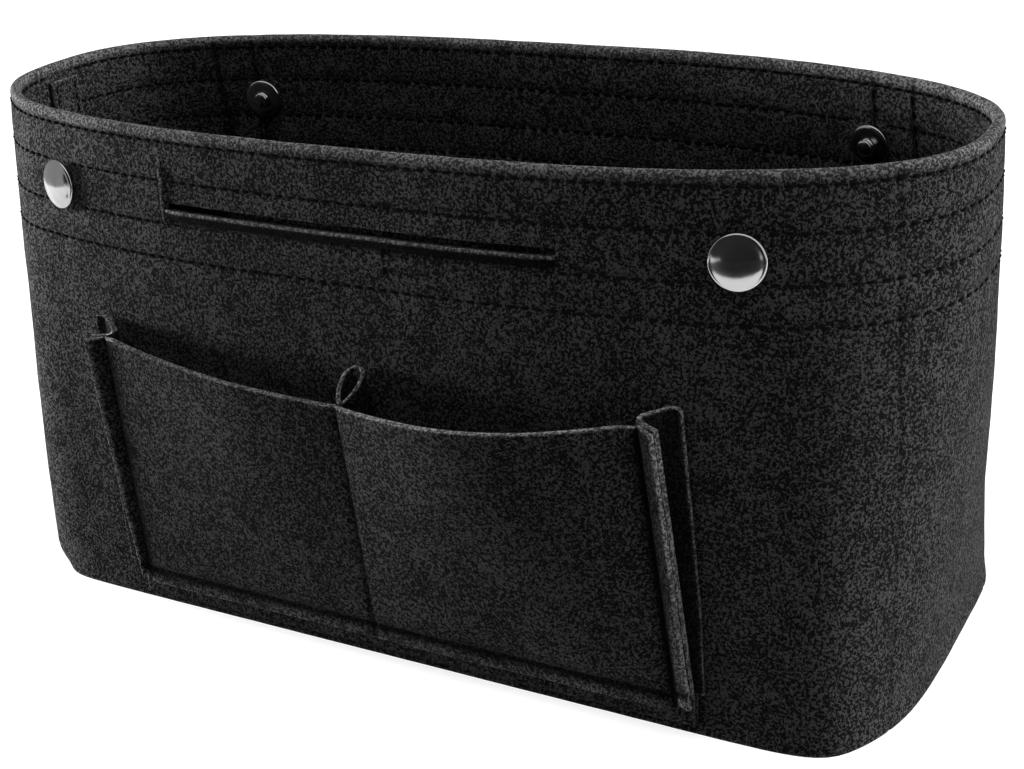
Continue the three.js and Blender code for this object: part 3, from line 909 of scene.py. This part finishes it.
gusset_heights = stations(flange_foot, pocket_top, 0.0022)
for label, side in (("left", -1), ("right", 1)):

    def gusset_place(step, z, side=side):
        x, y = gusset_path(side, z)[step]
        behind = 1 - smooth(step, 10, 20)
        lift = (gusset_rise * smooth(step, 18, 36) - corner_drop * behind) * pocket_rise(z) ** 2
        return Vector((side * x, y, foot_lifted(z, 0.35 * behind) + lift))

    def gusset_press(step, z):
        """Thinner towards the flange's raw edge, which the seam on the wall presses."""
        return 1 - 0.45 * smooth(step, gusset_points - 8, gusset_points - 1)

    def gusset_shade(step, z):
        """Painted shade on the folded leaf, which lies in the crevice between the border and the wall."""
        return 0.75 * smooth(step, 13, 17) * (1 - smooth(step, gusset_points - 4, gusset_points - 1))

    order = list(range(gusset_points))
    gusset = felt_sheet(
        f"front_pocket_gusset_{label}_felt",
        order if side < 0 else order[::-1],
        gusset_heights,
        gusset_place,
        felt_thickness,
        gusset_press,
        painted_shade=gusset_shade,
        raw_edge=0.75,
    )
    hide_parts(f"front_pocket_gusset_{label}")
    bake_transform(gusset)

# Divider. A loop of thinner felt ties the pocket's middle to the wall: broad at the wall and pinched at the
# middle seam, and it sinks with the panel's edge.
divider_foot = 0.024
divider_felt = 0.0012
divider_width = 0.007


def divider_place(step, z):
    wall = front_y(0, z) - leaf_gap - divider_felt / 2
    front = front_y(0, z) - pocket_depth(0, z) + leaf_gap + divider_felt / 2
    angle = 2 * math.pi * step
    reach = (1 - math.cos(angle)) / 2
    width = divider_width / 2 * math.sin(angle) * (1 - reach / 2)
    return Vector((-width, wall + (front - wall) * reach, z - reach * pocket_sag(0, z)))


divider = felt_sheet(
    "front_pocket_divider_felt",
    [0.004 + 0.992 * k / 40 for k in range(41)],
    stations(divider_foot, pocket_top, 0.0024),
    divider_place,
    divider_felt,
)
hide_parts("front_pocket_divider")
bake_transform(divider)

# Foot strip. A strip folded double under the panel's foot, sewn to the wall: it shows as a light band between
# the panel's raw edge and the base.
foot_strip_top = 0.0115
foot_strip_bend = 0.00515
foot_strip_ends = (-0.0815, 0.0905)


def foot_strip_rows():
    """Each row's place out from the wall and its height, down one leaf, round the fold and up the other."""
    heights = [foot_strip_top, 0.0100, 0.0088, 0.0076, 0.0064, foot_strip_bend]
    radius = leaf_gap / 2
    rows = [(-leaf_gap - felt_thickness, z) for z in heights]
    for k in range(1, 7):
        angle = math.pi * k / 7
        out = -leaf_gap - felt_thickness - radius + radius * math.cos(angle)
        rows.append((out, foot_strip_bend - radius * math.sin(angle)))
    return rows + [(-2 * leaf_gap - felt_thickness, z) for z in reversed(heights)]


foot_strip = felt_sheet(
    "front_pocket_foot_strip_felt",
    stations(*foot_strip_ends, 0.002),
    foot_strip_rows(),
    lambda x, row: Vector((x, front_y(x, row[1]) + row[0], row[1])),
    felt_thickness,
    side=1.0,
)
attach(foot_strip, "tub")
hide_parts("front_pocket_foot_strip")

# Slip pockets inside. One panel to a row, sewn to the inner leaf in upright seams, so that it stands off in
# rounded bays between them: four bays at the back and three at the front.
row_inset = 0.0036
row_half = 0.103
row_crown = 0.016
row_wave = 0.0006
row_sag = 0.0022
row_foot = 0.0057
inside_seams = Seam("inside_pocket_stitching")
for label, top, bays, back in (("back", 0.086, 4, True), ("front", 0.080, 3, False)):
    ends = sorted(turn_at(x, top, back) for x in (-row_half, row_half))

    def row_place(share, z, out=0.0, ends=ends, top=top, bays=bays):
        rise = max(0.0, (z - row_foot) / (top - row_foot))
        bay = (share * bays) % 1.0
        wave = row_wave * noise.noise(Vector((share * 9.0, top * 100, z * 24.0)))
        stand = (row_crown + wave) * max(0.0, math.sin(math.pi * bay)) ** 0.8 * rise**0.9
        sag = row_sag * math.sin(math.pi * bay) * rise**2
        spot = wall_place(ends[0] + (ends[1] - ends[0]) * share, z, row_inset + felt_thickness / 2 + stand + out)
        return Vector((spot.x, spot.y, z - sag))

    def row_press(share, z, bays=bays):
        seam = min(abs(share - k / bays) for k in range(bays + 1)) * 0.23
        return 0.95 - 0.45 * dip(seam, 0, 0.0009)

    slip_row = felt_sheet(
        f"inside_pocket_row_{label}_felt",
        stations(0, 1, 0.009, [k / bays for k in range(1, bays)], 0.003, 0.003),
        stations(row_foot, top, 0.0025),
        row_place,
        felt_thickness,
        row_press,
    )
    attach(slip_row, "tub")
    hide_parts(f"inside_pocket_row_{label}")
    for k in range(bays + 1):
        share = min(0.994, max(0.006, k / bays))
        turn = ends[0] + (ends[1] - ends[0]) * share
        inside_seams.line(lambda z: (row_place(share, z, 0.0004), -outward(turn, z)), 0.008, top - 0.002)
inside_stitching = inside_seams.done()
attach(inside_stitching, "tub")

# Press fasteners. Nickel-plated brass: a low domed cap with a rolled edge outside each wall, riveted through the
# felt to a socket inside the front wall and a stud inside the back wall.


def nickel_material():
    material, tree, shader = plain_material("nickel_plate", {"Metallic": 1.0})
    smears = speckle(tree, node(tree, "ShaderNodeTexCoord").outputs["Object"], 260.0, 4.0, 0.65)
    spread = {"Value": smears, "From Min": 0.3, "From Max": 0.75, "To Min": 0.1, "To Max": 0.22}
    rough = node(tree, "ShaderNodeMapRange", spread.items()).outputs[0]
    colour = mixed_colour(tree, smears, (0.36, 0.36, 0.365, 1.0), grey(0.5))
    tree.links.new(colour, shader.inputs["Base Color"])
    tree.links.new(rough, shader.inputs["Roughness"])
    relief(tree, shader, smears, 0.06, 0.0004)
    return material


nickel_plate = nickel_material()


def snap_seat(x, back, inset, face):
    """Local x along the wall, y up the wall, z out of it, or into the tub where face is -1."""
    turn = turn_at(x, snap_z, back)
    spot = wall_place(turn, snap_z, inset)
    along = (wall_place(turn + 0.004, snap_z, inset) - wall_place(turn - 0.004, snap_z, inset)).normalized()
    up = (wall_place(turn, snap_z + 0.002, inset) - wall_place(turn, snap_z - 0.002, inset)).normalized()
    out = along.cross(up).normalized() * face
    along = up.cross(out)
    seat = Matrix((along, up, out)).transposed().to_4x4()
    seat.translation = spot
    return seat


def turned_metal(name, profile, seat, cad_node):
    """Spins a profile of radius and height in millimetres, closed on its axis at both ends."""
    form = bmesh.new()
    ring = [form.verts.new((radius / 1000, 0, height / 1000)) for radius, height in profile]
    edges = [form.edges.new(pair) for pair in zip(ring, ring[1:])]
    bmesh.ops.spin(
        form, geom=ring + edges, cent=(0, 0, 0), axis=(0, 0, 1), angle=2 * math.pi, steps=56, use_merge=True
    )
    bmesh.ops.remove_doubles(form, verts=form.verts, dist=1e-6)
    bmesh.ops.recalc_face_normals(form, faces=form.faces)
    bmesh.ops.transform(form, matrix=seat, verts=form.verts)
    piece = finished_piece(name, form, nickel_plate)
    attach(piece, "tub")
    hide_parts(cad_node)


cap_profile = [
    (0, 0.6), (5.9, 0.6), (6.45, 0.62), (6.7, 0.78), (6.8, 1.05), (6.74, 1.35), (6.5, 1.6), (6.2, 1.7),
    (5.98, 1.73), (5.8, 1.8), (5.4, 1.98), (4.8, 2.2), (4.0, 2.43), (3.0, 2.64), (1.9, 2.79), (0.9, 2.87),
    (0, 2.9),
]
socket_profile = [
    (0, 0.0), (5.4, 0.0), (5.75, 0.12), (5.82, 0.4), (5.7, 0.75), (5.35, 0.95), (4.9, 1.05), (4.6, 1.35),
    (4.45, 2.0), (4.2, 2.45), (3.75, 2.62), (3.2, 2.58), (2.8, 2.35), (2.65, 1.9), (2.6, 1.2), (0, 1.15),
]
stud_profile = [
    (0, 0.0), (5.4, 0.0), (5.75, 0.12), (5.82, 0.4), (5.7, 0.75), (5.3, 0.98), (4.6, 1.1), (3.4, 1.12),
    (2.4, 1.15), (1.95, 1.35), (1.75, 1.7), (1.85, 2.2), (2.2, 2.6), (2.32, 2.95), (2.15, 3.25), (1.6, 3.4),
    (0, 3.45),
]
inside_inset = 0.0036
for label, x in (("left", -snap_x), ("right", snap_x)):
    for wall, back in (("front", False), ("back", True)):
        turned_metal(f"{wall}_cap_{label}", cap_profile, snap_seat(x, back, 0, 1), f"snap_cap_{wall}_{label}")
    inside_front, inside_back = snap_seat(x, False, inside_inset, -1), snap_seat(x, True, inside_inset, -1)
    turned_metal(f"front_socket_{label}", socket_profile, inside_front, f"snap_socket_front_{label}")
    turned_metal(f"back_stud_{label}", stud_profile, inside_back, f"snap_stud_back_{label}")

# Studio. A white floor that keeps the shadow, soft boxes to the left, the right and above, and dim light from
# the front, as for a catalogue picture. Two dark cards in front and a grey one at the left give the fasteners
# something to mirror, and nothing else sees them.


def stage_plane(name, size, centre, turn, material):
    form = bmesh.new()
    bmesh.ops.create_grid(form, x_segments=1, y_segments=1, size=0.5)
    plane = finished_piece(name, form)
    plane.scale = (*size, 1)
    plane.location = centre
    plane.rotation_euler = turn
    plane.data.materials.append(material)
    return plane


def seen_directly(tree):
    """1 for what the camera or a mirroring surface sees of a thing, 0 for the light that it gives."""
    rays = node(tree, "ShaderNodeLightPath").outputs
    kinds = [(0, rays["Is Camera Ray"]), (1, rays["Is Glossy Ray"])]
    return node(tree, "ShaderNodeMath", kinds, operation="MAXIMUM").outputs[0]


floor_plain = {"Base Color": grey(0.3), "Roughness": 0.9, "Emission Color": grey(1.0)}
floor_white, tree, shader = plain_material("floor_white", floor_plain)
glow = node(tree, "ShaderNodeMath", [(0, seen_directly(tree)), (1, 0.8)], operation="MULTIPLY").outputs[0]
tree.links.new(glow, shader.inputs["Emission Strength"])
stage_plane("floor", (30, 30), (0, 0, 0), (0, 0, 0), floor_white)


def card_material(name, glow):
    plain = {"Base Color": grey(0.01), "Roughness": 1.0, "Emission Color": grey(1.0), "Emission Strength": glow}
    return plain_material(name, plain)[0]


card_dark = card_material("card_dark", 0.0)
card_grey = card_material("card_grey", 0.4)
upright = math.radians(90)
for card in (
    stage_plane("low_card", (2.0, 1.2), (0.74, -0.83, 0.002), (0, 0, 0), card_dark),
    stage_plane("front_card", (3.1, 1.6), (0.11, -1.4, 0.8), (upright, 0, 0), card_dark),
    stage_plane("left_card", (1.2, 1.35), (-0.62, -0.075, 0.6), (0, upright, 0), card_grey),
):
    card.visible_camera = False
    card.visible_diffuse = False
    card.visible_shadow = False
    card.visible_transmission = False

world = bpy.data.worlds.new("studio_world")
bpy.context.scene.world = world
world.use_nodes = True
tree = world.node_tree
tree.nodes.clear()
where = node(tree, "ShaderNodeTexCoord").outputs["Generated"]
height = node(tree, "ShaderNodeSeparateXYZ", [(0, where)]).outputs["Z"]
fade_range = {"Value": height, "From Min": -0.05, "From Max": 0.5, "To Min": 0.02, "To Max": 0.12}
fade = node(tree, "ShaderNodeMapRange", fade_range.items()).outputs[0]
level = mixed_value(tree, seen_directly(tree), fade, 1.0)
backdrop = node(tree, "ShaderNodeBackground", [("Color", (1, 1, 1, 1)), ("Strength", level)])
tree.links.new(backdrop.outputs[0], node(tree, "ShaderNodeOutputWorld").inputs["Surface"])


def soft_box(name, place, aim, size, power):
    lamp = bpy.data.lights.new(name, "AREA")
    lamp.shape = "RECTANGLE"
    lamp.size, lamp.size_y = size
    lamp.energy = power
    box = bpy.data.objects.new(name, lamp)
    box.location = place
    box.rotation_euler = (Vector(aim) - Vector(place)).to_track_quat("-Z", "Y").to_euler()
    box.visible_glossy = False
    bpy.context.scene.collection.objects.link(box)


soft_box("left_box", (-1.45, -0.05, 0.15), (0, 0, 0.08), (0.5, 0.24), 135)
soft_box("right_box", (1.3, 0.6, 0.5), (0, 0, 0.08), (0.9, 0.7), 53)
soft_box("top_box", (-0.1, -0.36, 1.5), (0, 0, 0.1), (1.1, 1.1), 19)

camera_data = bpy.data.cameras.new("camera")
camera_data.sensor_width = 36
camera_data.sensor_fit = "HORIZONTAL"
camera_data.lens = 59.759
camera_data.clip_start = 0.01
camera = bpy.data.objects.new("camera", camera_data)
camera_yaw, camera_pitch, camera_roll = -0.53000593, 0.41722575, -0.07291048
ahead = Vector(
    (
        math.sin(camera_yaw) * math.cos(camera_pitch),
        math.cos(camera_yaw) * math.cos(camera_pitch),
        -math.sin(camera_pitch),
    )
)
level_right = Vector((math.cos(camera_yaw), -math.sin(camera_yaw), 0))
level_up = level_right.cross(ahead)
right = level_right * math.cos(camera_roll) + level_up * math.sin(camera_roll)
upward = level_up * math.cos(camera_roll) - level_right * math.sin(camera_roll)
camera.matrix_world = Matrix((right, upward, -ahead)).transposed().to_4x4()
camera.location = (0.232426, -0.377702, 0.252932)
bpy.context.scene.collection.objects.link(camera)
bpy.context.scene.camera = camera
bpy.context.scene.view_settings.view_transform = "Standard"
